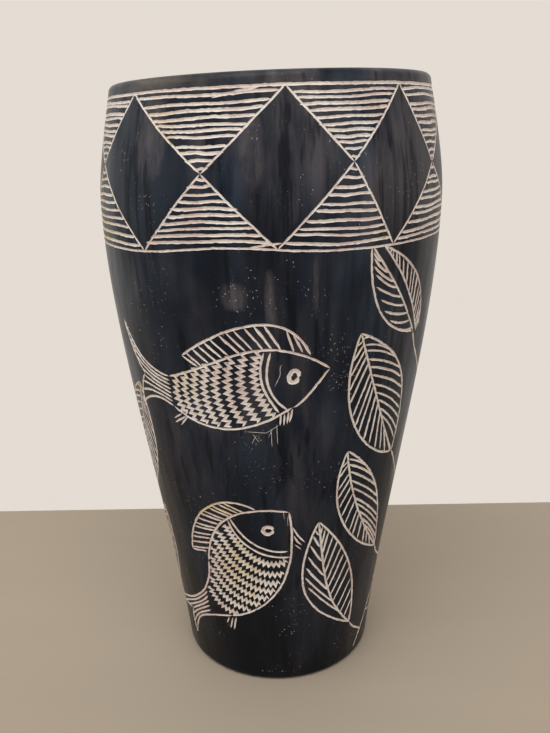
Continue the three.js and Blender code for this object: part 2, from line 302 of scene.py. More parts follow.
# Patches in the two finishes: azimuth, height in hundredths of the panel, half width and half height
# in millimetres, and strength. The first are rubbed into the dye, and the second are ochre stone.
PANEL_HEIGHT = 192 * MM
PANEL_RADIUS = 68 * MM
RUBBED_PATCHES = [
    (-0.8, 92, 2.3, 10, 0.75), (1.8, 89, 2.2, 8, 0.35), (-11.2, 92.4, 5, 5, 0.9),
    (12.5, 94, 1.1, 11, 0.45), (-38, 120, 7.5, 14, 0.75), (-5.5, 117, 4.2, 12, 0.6),
    (6, 113, 2, 16, 0.4), (42, 122, 5, 9, 0.45), (118, 84, 2.4, 12, 0.7), (176, 112, 4, 11, 0.6),
    (214, 88, 5, 6, 0.8), (283, 96, 2.4, 14, 0.6),
]
OCHRE_PATCHES = [
    (-19, 30, 13, 17, 0.85), (-38, 48, 9, 9, 0.6), (-34, 121, 7, 9, 0.8),
    (-70, 108, 9, 18, 0.8), (-34, 75, 10, 9, 0.5), (29, 84, 5, 6, 0.4),
    (104, 118, 10, 12, 0.7), (161, 38, 12, 14, 0.7), (228, 80, 14, 12, 0.6),
]


def measure(name, description, default):
    return FloatProperty(
        name=name, description=description, default=default, subtype="DISTANCE", unit="LENGTH")


def tint(name, of, default):
    return FloatVectorProperty(
        name=name, description=f"Colour of {of}", default=default, subtype="COLOR", size=3,
        min=0, max=1)


class StoneSizes(PropertyGroup):
    """Main sizes of the stone."""

    height: measure("Height", "Height of the vase", 250 * MM)
    foot_radius: measure("Foot Radius", "Radius at the foot", 42.5 * MM)
    belly_radius: measure(
        "Belly Radius", "Radius at the widest place", (CAD_BOX[1].x - CAD_BOX[0].x) / 2)
    belly_height: measure("Belly Height", "Height of the widest place", 205 * MM)
    rim_radius: measure("Rim Radius", "Radius at the rim", 62.3 * MM)
    wall: measure("Wall", "Thickness of the wall", 8.5 * MM)
    floor: measure("Floor", "Thickness of the floor", 14 * MM)


class LineCut(PropertyGroup):
    """Widths and depths of the incised lines."""

    outline_width: measure("Outline Width", "Width of the lines round the figures", 0.88 * MM)
    hatch_width: measure("Hatch Width", "Width of the upper ring line and the hatching", 1.0 * MM)
    fill_width: measure("Fill Width", "Width of rays and veins", 0.86 * MM)
    thin_width: measure(
        "Thin Width", "Width of the diamonds' sides and the lower ring line", 0.74 * MM)
    depth: FloatProperty(
        name="Depth", description="Depth of a line as a share of its width", default=0.36,
        min=0.1, max=1)
    raggedness: FloatProperty(
        name="Raggedness", description="How much a line's edges wander, as a share of its width",
        default=0.13, min=0, max=0.3)
    seed: IntProperty(name="Seed", description="Seed of the hand's unevenness", default=7)


class Finish(PropertyGroup):
    """Colours of the stone and the stage."""

    # The ink also shows towards the foot, which is darker
    ink: tint("Ink", "the dye where it lies thickest", (0.0035, 0.0045, 0.0075))
    dye: tint("Dye", "the dye over most of the stone", (0.0095, 0.0145, 0.0255))
    slate: tint("Slate", "the dye's blue streaks", (0.045, 0.062, 0.09))
    rubbed: tint("Rubbed Dye", "the dye where it is rubbed thin", (0.115, 0.103, 0.112))
    # Scuffs on the rim, and a painted reflection on its left side
    scuff_and_reflection_tone: tint("Scuffed Dye", "the worn stone above the band", (0.2, 0.175, 0.15))
    raw: tint("Raw Stone", "the stone under the dye", (0.9, 0.83, 0.77))
    pink: tint("Pink Stone", "the stone's pink patches", (0.8, 0.66, 0.61))
    ochre: tint("Ochre Stone", "the stone's yellow patches", (0.8, 0.65, 0.4))
    table: tint("Table", "the table top", (0.43, 0.36, 0.28))
    wall: tint("Wall", "the wall behind the table", (0.78, 0.72, 0.65))


class Outline:
    """Outside of the stone: its radius at a height, and a flat map of it that keeps angles."""

    def __init__(self, sizes):
        foot, belly, rim = sizes.foot_radius, sizes.belly_radius, sizes.rim_radius
        widest, top = sizes.belly_height, sizes.height
        side = cubic(
            (foot, 0), (foot + FOOT_FLARE * FOOT_SWEEP, FOOT_SWEEP),
            (belly, widest - BELLY_SWEEP), (belly, widest))
        shoulder = cubic(
            (belly, widest), (belly, widest + SHOULDER_SWEEP),
            (rim + RIM_TAPER * RIM_SWEEP, top - RIM_SWEEP), (rim, top))
        shares = np.linspace(0, 1, OUTLINE_SAMPLES)
        points = np.concatenate([side(shares), shoulder(shares)[1:]])
        self.radii, self.heights = points.T
        self.slopes = np.gradient(self.radii, self.heights)
        steps = np.hypot(np.diff(self.radii), np.diff(self.heights))
        middles = (self.radii[1:] + self.radii[:-1]) / 2
        self.spread = np.concatenate([[0], np.cumsum(steps / middles)])

    def radius(self, height):
        return np.interp(height, self.heights, self.radii)

    def flat(self, places):
        """Places (azimuth, height) on the flat map, as complex numbers: the foot is the middle."""
        return np.exp(np.interp(places[:, 1], self.heights, self.spread) + 1j * places[:, 0])

    def unflat(self, flat):
        """Azimuths and heights of points of the flat map."""
        heights = np.interp(np.log(np.abs(flat)), self.spread, self.heights)
        return np.stack([np.angle(flat), heights], axis=1)

    def space(self, places, sink=0.0):
        """Points in space at places (azimuth, height), sunk below the surface by a depth."""
        azimuths, heights = places.T
        radii = self.radius(heights) - sink
        return np.stack([radii * np.sin(azimuths), -radii * np.cos(azimuths), heights], axis=1)

    def normals(self, places):
        """Outward directions of the outside at places."""
        azimuths, heights = places.T
        slopes = np.interp(heights, self.heights, self.slopes)
        outward = np.stack([np.sin(azimuths), -np.cos(azimuths), -slopes], axis=1)
        return outward / np.hypot(1, slopes)[:, None]


class Stroke(NamedTuple):
    """One incised line: its points (azimuth, height), its width and its depth."""

    points: np.ndarray
    width: float
    depth: float


def cubic(*guides):
    """Cubic curve through two ends with two guides, as a function of shares from 0 to 1."""
    a, b, c, d = (np.array(guide, float) for guide in guides)

    def line(share):
        s = np.asarray(share, float)[..., None]
        return (1 - s) ** 3 * a + 3 * (1 - s) ** 2 * s * b + 3 * (1 - s) * s ** 2 * c + s ** 3 * d

    return line


def straight(start, end):
    """Straight line between two places, as a function of shares from 0 to 1."""
    start, end = np.array(start, float), np.array(end, float)
    return lambda share: start + (end - start) * np.asarray(share, float)[..., None]


def blend(low, high, share):
    return low + (high - low) * share


def bowed(start, end, bows):
    """Curve between two places, moved by the bows at a third and at two thirds of the way."""
    guides = (blend(start, end, share) + bow for share, bow in zip((1 / 3, 2 / 3), bows))
    return cubic(start, *guides, end)


def spaced(span, along):
    """Share of a curve at a place along a fan, from the fan's first and last share and its growth."""
    first, last, growth = span
    return blend(first, last, min(1, max(0, along)) ** growth)


def ring_lift(azimuth):
    """How far the lower ring line lies above its level at an azimuth."""
    away = (azimuth - LIFT_AZIMUTH + math.pi) % (2 * math.pi) - math.pi
    return RING_LIFT * np.exp(-(away / LIFT_BREADTH) ** 2)


class Carver:
    """Draws the ornament as strokes on the stone, with the unevenness of a hand."""

    def __init__(self, sizes, cut):
        self.outline = Outline(sizes)
        self.cut = cut
        self.rng = random.Random(cut.seed)
        self.strokes = []
        self.turn = 0.0
        self.band_top = sizes.height - BAND_DROP
        self.band_foot = self.band_top - BAND_HEIGHT

    def panel(self, place):
        """Azimuth and height of a place of the panel."""
        return math.radians(place[0]), place[1] / 100 * self.band_foot

    def bend(self, guides):
        return cubic(*(self.panel(guide) for guide in guides))

    def even(self, line, step=POINT_STEP):
        """Points along a line at even steps on the stone."""
        shares = np.linspace(0, 1, TRACE_SAMPLES)
        steps = np.linalg.norm(np.diff(self.outline.space(line(shares)), axis=0), axis=1)
        run = np.concatenate([[0], np.cumsum(steps)])
        count = max(3, round(run[-1] / step))
        return line(np.interp(np.linspace(0, run[-1], count + 1), run, shares))

    def add(self, points, width, wander=WANDER):
        """Adds a stroke through points, which wander a little to either side on the way."""
        points = np.array(points)
        radius = self.outline.radius(points[:, 1])
        phases = [self.rng.uniform(0, 2 * math.pi) for _ in range(4)]
        along = np.arange(len(points)) * POINT_STEP
        for axis, size in ((0, radius), (1, 1)):
            slow = np.sin(along / SLOW_WAVE + phases[axis])
            quick = np.sin(along / QUICK_WAVE + phases[axis + 2])
            points[:, axis] += wander * (SLOW_SHARE * slow + (1 - SLOW_SHARE) * quick) / size
        points[:, 0] += self.turn
        self.strokes.append(Stroke(points, width, width * self.cut.depth))

    def about(self, reach):
        return self.rng.uniform(-reach, reach)

    def line(self, line, width):
        self.add(self.even(line), width)

    def outlines(self, *lines):
        for line in lines:
            self.line(line, self.cut.outline_width)

    def zigzag(self, guide, swing, period, width):
        """Zigzag about a guide line, with a point at each corner and one between."""
        spine = self.even(guide, period / 2)
        flat = self.outline.flat(spine)
        along = np.gradient(flat)
        scale = np.abs(flat) / self.outline.radius(spine[:, 1])
        side = np.where(np.arange(len(spine)) % 2, 1, -1)
        reach = swing * np.array([self.rng.uniform(*TOOTH_SWINGS) for _ in spine])
        reach[[0, -1]] /= 2
        corners = flat + 1j * along / np.abs(along) * side * reach * scale
        places = self.outline.unflat(corners)
        middles = (places[1:] + places[:-1]) / 2
        self.add(np.insert(places, np.arange(1, len(places)), middles, axis=0), width, wander=0.0)

    def fan(self, start, end, fan):
        """Strokes from one line to another, as a fan of rays or veins."""
        count, from_span, to_span, bow, short = fan
        for i in range(count):
            along = (i + self.about(FAN_SPREAD)) / (count - 1)
            first, last = start(spaced(from_span, along)), end(spaced(to_span, along))
            last = blend(last, first, short + self.about(FAN_ENDS))
            # Both guides moved by 4/3 of the bow move the curve's middle by the bow
            lift = np.array([0, 4 / 3 * bow])
            vein = bowed(first, last, (lift, lift))
            self.line(vein, self.cut.fill_width * self.rng.uniform(*FILL_WIDTHS))

    def oval(self, place, size):
        """Ring cut round a place, such as an eye, tilted towards +X at the top."""
        half_width, half_height, width, tilt = size
        azimuth, height = self.panel(place)
        turns = np.linspace(0, 2 * math.pi * OVAL_TURNS, OVAL_POINTS)
        ring = half_width * np.cos(turns) + 1j * half_height * np.sin(turns)
        ring *= np.exp(-1j * math.radians(tilt))
        across = azimuth + ring.real / self.outline.radius(height)
        self.add(np.stack([across, height + ring.imag], axis=1), width, wander=0.0)

    def hatch(self, apex, first, last, count, rise):
        """Rows of strokes across a triangle, from its apex to the side between its other corners."""
        phases = [self.rng.uniform(0, 2 * math.pi) for _ in HATCH_WAVES]
        for i in range(count):
            share = (i + HATCH_FIRST + self.about(HATCH_SPREAD)) / (count + HATCH_LAST)
            start, end = (
                straight(apex, corner)(share + self.rng.uniform(*HATCH_SLANTS))
                for corner in (first, last))
            for place, side in ((start, -1), (end, 1)):
                place[0] += side * self.overshoot() / self.outline.radius(apex[1])
            points = self.even(straight(start, end))
            along = np.linspace(0, 1, len(points))
            sway, ripple = (
                size * np.sin(waves * along + phase + shift * i)
                for (size, waves, shift), phase in zip(HATCH_WAVES, phases))
            points[:, 1] += sway * share + ripple + rise * share * ring_lift(points[:, 0])
            self.add(points, self.cut.hatch_width * self.rng.uniform(*HATCH_WIDTHS))

    def overshoot(self):
        """How far a hatching stroke runs on over the line that bounds it."""
        return MM * max(LEAST_OVERSHOOT, self.rng.gauss(*OVERSHOOT))

    def band(self):
        """Two ring lines, cut in pieces that overlap, and diamonds with hatched triangles between."""
        sides = (
            (self.band_top, DIAMOND_TOPS, self.cut.hatch_width, 0),
            (self.band_foot, DIAMOND_FEET, self.cut.thin_width, 1),
        )
        for rows, (level, azimuths, width, rise) in zip(HATCH_ROWS, sides):
            for start in range(0, 360, RING_PIECE):
                ends = start - RING_OVERLAP, start + RING_PIECE + RING_OVERLAP
                points = self.even(straight(*((math.radians(azimuth), level) for azimuth in ends)))
                points[:, 1] += rise * ring_lift(points[:, 0])
                self.add(points, width)
            for i, (azimuth, share) in enumerate(DIAMOND_CORNERS):
                touch = (math.radians(azimuth), self.band_foot + share * BAND_HEIGHT)
                before = math.radians(azimuths[i - 1] - (360 if i == 0 else 0))
                after = math.radians(azimuths[i])
                for side in (before, after):
                    corner = (side, level + rise * ring_lift(side))
                    self.line(straight(corner, touch), self.cut.thin_width)
                self.hatch(touch, (before, level), (after, level), rows, rise)
        for points in BAND_STRAYS:
            self.short(points, self.cut.thin_width)

    def fish(self, shape):
        """Fish with its outline, gills, eye, scales, rayed back fin and forked tail."""
        back, fin, top, foot = (
            self.bend(shape[name]) for name in ("back", "fin", "tail_top", "tail_foot"))
        under = (self.bend(guides) for guides in (*shape["belly"], *shape["gills"]))
        fin_end = straight(fin(1), self.panel(shape["fin_end"]))
        self.outlines(back, *under, fin, fin_end, top, foot)
        self.tail(top, foot, *shape["tail_rays"])
        self.fan(fin, back, shape["fin_rays"])
        self.scales(shape["scales"])
        for points in shape["strokes"]:
            self.short(points, self.cut.fill_width * self.rng.uniform(*STROKE_WIDTHS))
        for points in shape["scratches"]:
            self.short(points, SCRATCH_WIDTH)
        self.oval(shape["eye"], shape["eye_size"])

    def tail(self, top, foot, rays, root, fork):
        """Forked end and rays of a tail, between the lines along its top and its foot."""
        def place(across, along):
            return blend(top(along), foot(along), np.asarray(across, float)[..., None])

        def end(across):
            return 1 - fork * (1 - abs(2 * across - 1))

        for first in (0, 0.5):
            self.outlines(lambda share: place(first + share / 2, end(first + share / 2)))
        for across in np.arange(1, rays + 1) / (rays + 1):
            self.line(
                lambda share: place(across, blend(root, end(across), share)), self.cut.fill_width)

    def scales(self, scales):
        """Zigzag rows of scales from the fish's back to its belly, bowed towards its tail."""
        tops, feet = self.bend(scales["tops"]), self.bend(scales["feet"])
        first, last = (np.array([self.panel(bow) for bow in bows]) for bows in scales["bows"])
        for along in np.arange(SCALE_ROWS) / (SCALE_ROWS - 1):
            row = bowed(tops(along), feet(along), blend(first, last, along))
            self.zigzag(row, *scales["zigzag"])

    def short(self, points, width):
        """Short stroke through a few places of the panel."""
        axes = np.array([self.panel(place) for place in points]).T
        shares = np.linspace(0, 1, len(points))
        self.line(
            lambda share: np.stack([np.interp(share, shares, axis) for axis in axes], axis=-1), width)

    def chip(self, azimuth, height):
        """Small nick through the dye."""
        heading = self.rng.uniform(0, 2 * math.pi)
        length = blend(*CHIP_LENGTHS, self.rng.random() ** 2)
        along = np.array([math.cos(heading) / self.outline.radius(height), math.sin(heading)])
        reach = length / 2 * along
        middle = np.array([azimuth, height])
        width = self.rng.uniform(*CHIP_WIDTHS)
        points = middle + np.outer((-1, 0, 1), reach)
        self.strokes.append(Stroke(points, width, width * CHIP_DEPTH))

    def wear(self):
        """Chips in clusters, and others strewn over the whole outside."""
        for *place, spread, count in CHIP_CLUSTERS:
            around, up = self.panel(place)
            radius = self.outline.radius(up)
            for _ in range(count):
                height = max(LOWEST_CHIP, up + self.rng.gauss(0, spread * MM))
                self.chip(around + self.rng.gauss(0, spread * MM) / radius, height)
        for _ in range(STREWN_CHIPS):
            azimuth = self.rng.uniform(0, 2 * math.pi)
            self.chip(azimuth, self.rng.uniform(*STREWN_SPAN) * self.band_top)

    def leaf(self, shape, stalk, place=lambda guide: guide):
        """Leaf with its edges, midrib and veins, and the stalk that joins it to the vine."""
        tip, base = place(shape["tip"]), place(shape["base"])
        left, right, rib = (
            self.bend([tip, *map(place, shape[name]), base]) for name in ("left", "right", "rib"))
        self.outlines(left, right, rib)
        for edge, veins in zip((left, right), shape["veins"]):
            self.fan(rib, edge, veins)
        self.outlines(self.bend([base, *stalk]))

    def figures(self):
        """Fish and vine of one half of the vase."""
        for shape in (UPPER_FISH, LOWER_FISH):
            self.fish(shape)
        curves = [self.bend(guides) for guides in TOP_LEAF["curves"]]
        self.outlines(*curves)
        for rib, edge, veins in TOP_LEAF["fans"]:
            self.fan(curves[rib], curves[edge], veins)
        self.outlines(self.bend(VINE_STEM))
        for shape in (UPPER_LEAF, MIDDLE_LEAF, LOWER_LEAF):
            self.leaf(shape, shape["stalk"])
        stem = VINE_STEM[-1][0]
        for shape, (right, up), stalk in FAR_LEAVES:
            self.leaf(shape, stalk, lambda guide: (2 * stem - guide[0] + right, guide[1] + up))

    def ornament(self):
        """All strokes of the vase."""
        self.band()
        for turn in FIGURE_TURNS:
            self.turn = math.radians(turn)
            self.figures()
        self.turn = 0.0
        self.wear()
        return self.strokes


def tree_of(points):
    """Tree in which the points near a place are found."""
    tree = KDTree(len(points))
    for i, point in enumerate(points):
        tree.insert(point, i)
    tree.balance()
    return tree


class Grooves:
    """Strokes laid out on the flat map as sections, with a left edge, a middle and a right edge."""

    def __init__(self, outline, raggedness, rng):
        self.outline = outline
        self.raggedness = raggedness
        self.rng = rng
        self.flat = []
        self.faces = []
        self.sections = []

    def add(self, stroke):
        """Lays out one stroke, which narrows to a point at both ends."""
        flat = self.outline.flat(stroke.points)
        ahead = np.diff(flat) / np.abs(np.diff(flat))
        turn = ahead[1:] + ahead[:-1]
        turn /= np.maximum(np.abs(turn), TINY)
        mitre = 1 / np.maximum((turn * ahead[1:].conj()).real, 1 / MITRE_LIMIT)
        inner = flat[1:-1]
        scale = np.abs(inner) / self.outline.radius(stroke.points[1:-1, 1])
        ends = np.minimum(np.arange(1, len(flat) - 1), np.arange(len(flat) - 2, 0, -1))
        half = stroke.width / 2 * np.minimum(1, END_TAPER[0] + END_TAPER[1] * ends)
        left, right = (
            half * np.array([1 + self.rng.gauss(0, self.raggedness) for _ in half]) for _ in range(2))
        start = len(self.flat)
        self.flat.append(flat[0])
        for i, middle in enumerate(inner):
            out = 1j * turn[i] * mitre[i] * scale[i]
            self.flat.extend([middle + out * left[i], middle, middle - out * right[i]])
        self.flat.append(flat[-1])
        last = len(self.flat) - 1
        rows = [(start,) * 3, *((a, a + 1, a + 2) for a in range(start + 1, last, 3)), (last,) * 3]
        for low, high in zip(rows, rows[1:]):
            for a in (0, 1):
                face = dict.fromkeys([low[a + 1], high[a + 1], high[a], low[a]])
                self.faces.append(list(face))
        widths = np.pad(np.stack([left, right]), ((0, 0), (1, 1)))
        depths = np.pad(stroke.depth * half / half.max(), 1)
        self.sections.append((stroke.points, widths, depths))

    def depths_at(self, places):
        """Depth of the deepest groove at each of these places."""
        points = self.outline.space(places)
        tree = tree_of(points)
        found = np.zeros(len(points))
        for line, widths, depths in self.sections:
            spine = self.outline.space(line)
            outward = self.outline.normals(line)
            for i in range(len(spine) - 1):
                low, high = spine[i], spine[i + 1]
                step = high - low
                size = float(step @ step)
                reach = math.sqrt(size) / 2 + float(widths[:, i:i + 2].max())
                near = [index for _, index, _ in tree.find_range((low + high) / 2, reach)]
                if not near:
                    continue
                away = points[near] - low
                share = np.clip(away @ step / size, 0, 1)
                gap = np.linalg.norm(away - share[:, None] * step, axis=1)
                side = (np.cross(outward[i], step) @ away.T < 0).astype(int)
                half = blend(widths[side, i], widths[side, i + 1], share)
                depth = blend(depths[i], depths[i + 1], share) * (1 - gap / np.maximum(half, TINY))
                np.maximum.at(found, near, depth)
        return found


def ring_places(height, shift=0.0):
    """Places at even azimuths round the vase at a height."""
    azimuths = 2 * math.pi * (np.arange(ROUND_STEPS) + shift) / ROUND_STEPS
    return np.stack([azimuths, np.full(ROUND_STEPS, height)], axis=1)


def plain_places(outline, low, high, grooves):
    """Places between two heights, in staggered rows, that lie clear of every groove."""
    spread = np.interp([low, high], outline.heights, outline.spread)
    rows = round((spread[1] - spread[0]) / (2 * math.pi / ROUND_STEPS * math.sin(math.pi / 3)))
    heights = np.interp(np.linspace(*spread, rows + 1)[1:-1], outline.spread, outline.heights)
    places = np.concatenate([ring_places(z, shift=0.5 * (i % 2)) for i, z in enumerate(heights)])
    lines = outline.space(outline.unflat(np.array(grooves.flat)))
    tree = tree_of(lines)
    clear = [tree.find(point)[2] > CLEAR_OF_LINE for point in outline.space(places)]
    return places[clear]


def carved_skin(outline, grooves, low, high):
    """Outside between two heights as triangles, with the grooves in it.

    Gives places, depths, triangles and for each triangle whether it lies in a groove."""
    rings = [outline.flat(ring_places(z)) for z in (low, high)]
    plain = outline.flat(plain_places(outline, low, high, grooves))
    flat = np.concatenate([*rings, plain, grooves.flat])
    first = 2 * ROUND_STEPS + len(plain)
    edges = [
        (ring + k, ring + (k + 1) % ROUND_STEPS)
        for ring in (0, ROUND_STEPS) for k in range(ROUND_STEPS)]
    faces = [[first + corner for corner in face] for face in grooves.faces]
    corners = [Vector((point.real, point.imag)) for point in flat]
    found, _, triangles, _, _, sources = delaunay_2d_cdt(corners, edges, faces, 0, MERGE_FLAT, True)
    found = np.array([complex(*point) for point in found])
    triangles = np.array(triangles)
    cut = np.array([bool(source) for source in sources])
    hole = np.abs(rings[0][0]) * (1 + HOLE_SLACK)
    kept = ~(np.abs(found[triangles]) < hole).all(axis=1)
    places = outline.unflat(found)
    return places, grooves.depths_at(places), triangles[kept], cut[kept]


def arc(radius, centre, start, end):
    """Points (radius from the axis, height) of a round edge, from one angle to another."""
    angles = np.radians(np.linspace(start, end, EDGE_STEPS + 1))
    return [(centre[0] + radius * math.cos(a), centre[1] + radius * math.sin(a)) for a in angles]


def foot_section(outline):
    """Section from the skin's lower edge round the foot to the axis."""
    centre = outline.radius(FOOT_ROUND) - FOOT_ROUND
    return [*arc(FOOT_ROUND, (centre, FOOT_ROUND), 0, -90), (centre / 2, 0), (0, 0)]


def hollow_section(outline, sizes):
    """Section from the skin's upper edge over the rim and down the hollow to the axis."""
    rim_level, mouth_level = sizes.height - RIM_ROUND, sizes.height - MOUTH_ROUND
    rim_centre = outline.radius(rim_level) - RIM_ROUND
    mouth_centre = sizes.rim_radius - sizes.wall + MOUTH_ROUND
    floor_top = sizes.floor + FLOOR_ROUND
    floor_centre = outline.radius(floor_top) - sizes.wall - FLOOR_ROUND
    heights = np.linspace(mouth_level, floor_top, HOLLOW_STEPS + 2)[1:-1]
    return [
        *arc(RIM_ROUND, (rim_centre, rim_level), 0, 90),
        *arc(MOUTH_ROUND, (mouth_centre, mouth_level), 90, 180),
        *((outline.radius(z) - sizes.wall, z) for z in heights),
        *arc(FLOOR_ROUND, (floor_centre, floor_top), 0, -90),
        (floor_centre / 2, sizes.floor),
        (0, sizes.floor),
    ]


def spin_section(mesh, section):
    """Turns a section round the axis, as faces of the mesh."""
    corners = [mesh.verts.new((0, -radius, height)) for radius, height in section]
    edges = [mesh.edges.new(pair) for pair in zip(corners, corners[1:])]
    bmesh.ops.spin(
        mesh, geom=corners + edges, cent=(0, 0, 0), axis=(0, 0, 1), angle=2 * math.pi,
        steps=ROUND_STEPS, use_merge=True)


def mesh_data(mesh, name):
    data = bpy.data.meshes.new(name)
    mesh.to_mesh(data)
    mesh.free()
    return data


def new_object(scene, name, data):
    made = bpy.data.objects.new(name, data)
    scene.collection.objects.link(made)
    return made


def build_stone(sizes, cut):
    """Mesh of the vase: carved outside, rim, hollow and foot, with raw stone as second material."""
    carver = Carver(sizes, cut)
    outline = carver.outline
    grooves = Grooves(outline, cut.raggedness, random.Random(cut.seed + 1))
    for stroke in carver.ornament():
        grooves.add(stroke)
    low, high = FOOT_ROUND, sizes.height - RIM_ROUND
    places, depths, triangles, in_groove = carved_skin(outline, grooves, low, high)
    mesh = bmesh.new()
    for section in (foot_section(outline), hollow_section(outline, sizes)):
        spin_section(mesh, section)
    skin = [mesh.verts.new(point) for point in outline.space(places, depths)]
    for triangle, raw in zip(triangles.tolist(), in_groove.tolist()):
        face = mesh.faces.new([skin[corner] for corner in triangle])
        face.material_index = int(raw)
    bmesh.ops.delete(mesh, geom=[v for v in mesh.verts if not v.link_faces], context="VERTS")
    edge = [
        v for v in mesh.verts
        if any(e.is_boundary for e in v.link_edges) or v.co.xy.length < MERGE_RING]
    bmesh.ops.remove_doubles(mesh, verts=edge, dist=MERGE_RING)
    bmesh.ops.recalc_face_normals(mesh, faces=mesh.faces)
    for face in mesh.faces:
        face.smooth = True
    for seam in mesh.edges:
        seam.smooth = len({face.material_index for face in seam.link_faces}) == 1
    # The rim leans, up on its +X side, and less so towards the foot
    for vertex in mesh.verts:
        vertex.co.z *= 1 + RIM_RISE * vertex.co.x / (sizes.rim_radius * sizes.height)
    return mesh_data(mesh, "carved_vase")


class Mottle(NamedTuple):
    """Noise on object coordinates stretched by a scale, and the ranges it is carried from and to."""

    scale: tuple
    detail: float
    roughness: float
    low: float
    high: float
    to_low: float = 0.0
    to_high: float = 1.0
    distortion: float = 0.0


PATCH_EDGES = Mottle((190, 190, 75), 5, 0.7, 0.25, 0.75, -0.7, 0.7)
PATCH_CLOUDS = Mottle((240, 240, 50), 4, 0.65, 0.35, 0.62, 0.25)
DYE_DEPTH = Mottle((30, 30, 12), 3, 0.55, 0.35, 0.65, -0.45, 0.45)
CLOUDS = Mottle((24, 24, 15), 3, 0.6, 0.38, 0.6)
STREAKS = Mottle((120, 120, 9), 4, 0.6, 0.38, 0.64, distortion=0.25)
HUES = Mottle((50, 50, 12), 2, 0.5, 0.42, 0.58)
HAZE = Mottle((70, 70, 14), 4, 0.6, 0.36, 0.6, 0.3)
RUNS = Mottle((260, 260, 7), 2, 0.5, 0.58, 0.66, 0.0, 0.7)
SCUFFS = Mottle((28, 28, 90), 5, 0.65, 0.42, 0.66)
DUST = Mottle((1100, 1100, 1100), 2, 0.5, 0.68, 0.76, 0.0, 0.5)
DUSTY_PLACES = Mottle((40, 40, 40), 2, 0.5, 0.52, 0.66)
POLISH = Mottle((60, 60, 25), 4, 0.6, 0.3, 0.7, 0.24, 0.38)
PINK_VEINS = Mottle((45, 45, 45), 3, 0.6, 0.44, 0.62)
OCHRE_VEINS = Mottle((21, 21, 21), 3, 0.6, 0.6, 0.7)
SMUDGES = Mottle((700, 700, 700), 4, 0.65, 0.52, 0.75, 0.0, 0.5)
TABLE_TONES = Mottle((6, 40, 40), 3, 0.5, 0.3, 0.7)

# Bumps: scale, detail and roughness of their noise, strength and depth
GRAIN = ((1500, 1500, 1500), 3, 0.6, 0.07, 0.4 * MM)
FACETS = ((55, 55, 16), 2, 0.5, 0.4, 2.2 * MM)
RAW_GRAIN = ((2500, 2500, 2500), 3, 0.6, 0.4, 0.3 * MM)

# Spans: where the colour changes along Z or X and the shares between which it does, how much rougher
# it is where the rim is scuffed, and how a patch fades outwards
# Darker towards the foot: up to this height the colour runs from the ink to the dye
DARKER_FOOT = (0.0, 0.11)
PALER_TOP = (0.06, 0.215, 0.15, 1.0)
# Paler towards both sides of the band, by height and by distance from the middle in X
BAND_HAZE = (0.19, 0.205)
SIDE_HAZE = (0.02, 0.058, 0.0, 0.5)
# Scuffs and a painted reflection: pale warm grey on the rim's left side
SCUFF_AND_REFLECTION_RIM = (0.2425, 0.2475)
SCUFF_AND_REFLECTION_SIDE = (-0.01, -0.05, 0.25, 1.0)
WORN_ROUGHNESS = (0.0, 1.0, 0.0, 0.2)
PATCH_EDGE = (1.25, 0.1, 0.0)

DYE_SPECULAR = 0.13
RAW_SPECULAR = 0.3
RAW_ROUGHNESS = 0.82


def new_material(name):
    """New material, with its nodes and its shader."""
    material = bpy.data.materials.new(name)
    material.use_nodes = True
    return material, material.node_tree, material.node_tree.nodes["Principled BSDF"]


def shade(tree, shader, colour, roughness, specular):
    values = {"Base Color": colour, "Roughness": roughness, "Specular IOR Level": specular}
    for name, value in values.items():
        feed(tree, shader.inputs[name], value)


def feed(tree, socket, value):
    """Links a mottle or what another node gives, and sets a plain value. A colour is set opaque."""
    if isinstance(value, Mottle):
        value = mottle(tree, value)
    if isinstance(value, bpy.types.NodeSocket):
        tree.links.new(value, socket)
    else:
        socket.default_value = (*value, 1.0) if socket.type == "RGBA" else value


def node(tree, kind, **settings):
    """New shader node. Settings that name a socket feed it, and the others set the node."""
    made = tree.nodes.new("ShaderNode" + kind)
    for name, value in settings.items():
        if name in made.inputs:
            feed(tree, made.inputs[name], value)
        else:
            setattr(made, name, value)
    return made


def noise(tree, scale, detail, roughness, distortion=0.0):
    """Noise on stretched object coordinates, as a value about 0.5."""
    place = node(tree, "TexCoord").outputs["Object"]
    place = node(tree, "Mapping", Vector=place, Scale=scale).outputs["Vector"]
    ways = {"Scale": 1.0, "Detail": detail, "Roughness": roughness, "Distortion": distortion}
    return node(tree, "TexNoise", Vector=place, **ways).outputs["Fac"]


def ramp(tree, value, low, high, to_low=0.0, to_high=1.0):
    """Value carried from one range to another and held at its ends."""
    ranges = {"From Min": low, "From Max": high, "To Min": to_low, "To Max": to_high}
    return node(tree, "MapRange", Value=value, **ranges).outputs["Result"]


def mottle(tree, kind):
    """Uneven share over the surface."""
    grey = noise(tree, kind.scale, kind.detail, kind.roughness, kind.distortion)
    return ramp(tree, grey, kind.low, kind.high, kind.to_low, kind.to_high)


def math_node(tree, operation, *values):
    made = node(tree, "Math", operation=operation)
    for socket, value in zip(made.inputs, values):
        feed(tree, socket, value)
    return made.outputs["Value"]


def product(tree, *factors):
    """Factors multiplied together."""
    result = factors[0]
    for factor in factors[1:]:
        result = math_node(tree, "MULTIPLY", result, factor)
    return result


def mix(tree, factor, a, b):
    """Colour between two colours."""
    made = node(tree, "Mix", data_type="RGBA")
    sockets = {socket.identifier: socket for socket in made.inputs}
    for name, value in (("Factor_Float", factor), ("A_Color", a), ("B_Color", b)):
        feed(tree, sockets[name], value)
    return next(socket for socket in made.outputs if socket.identifier == "Result_Color")


def layered(tree, colour, *layers):
    """Colour under layers, each with its share and its colour."""
    for share, layer in layers:
        colour = mix(tree, share, colour, layer)
    return colour


def bumps(tree, shader, *kinds):
    """Bumps on a shader, each over the one before."""
    under = {}
    for *kind, strength, depth in kinds:
        height = noise(tree, *kind)
        made = node(tree, "Bump", Height=height, Strength=strength, Distance=depth, **under)
        under = {"Normal": made.outputs["Normal"]}
    feed(tree, shader.inputs["Normal"], under["Normal"])


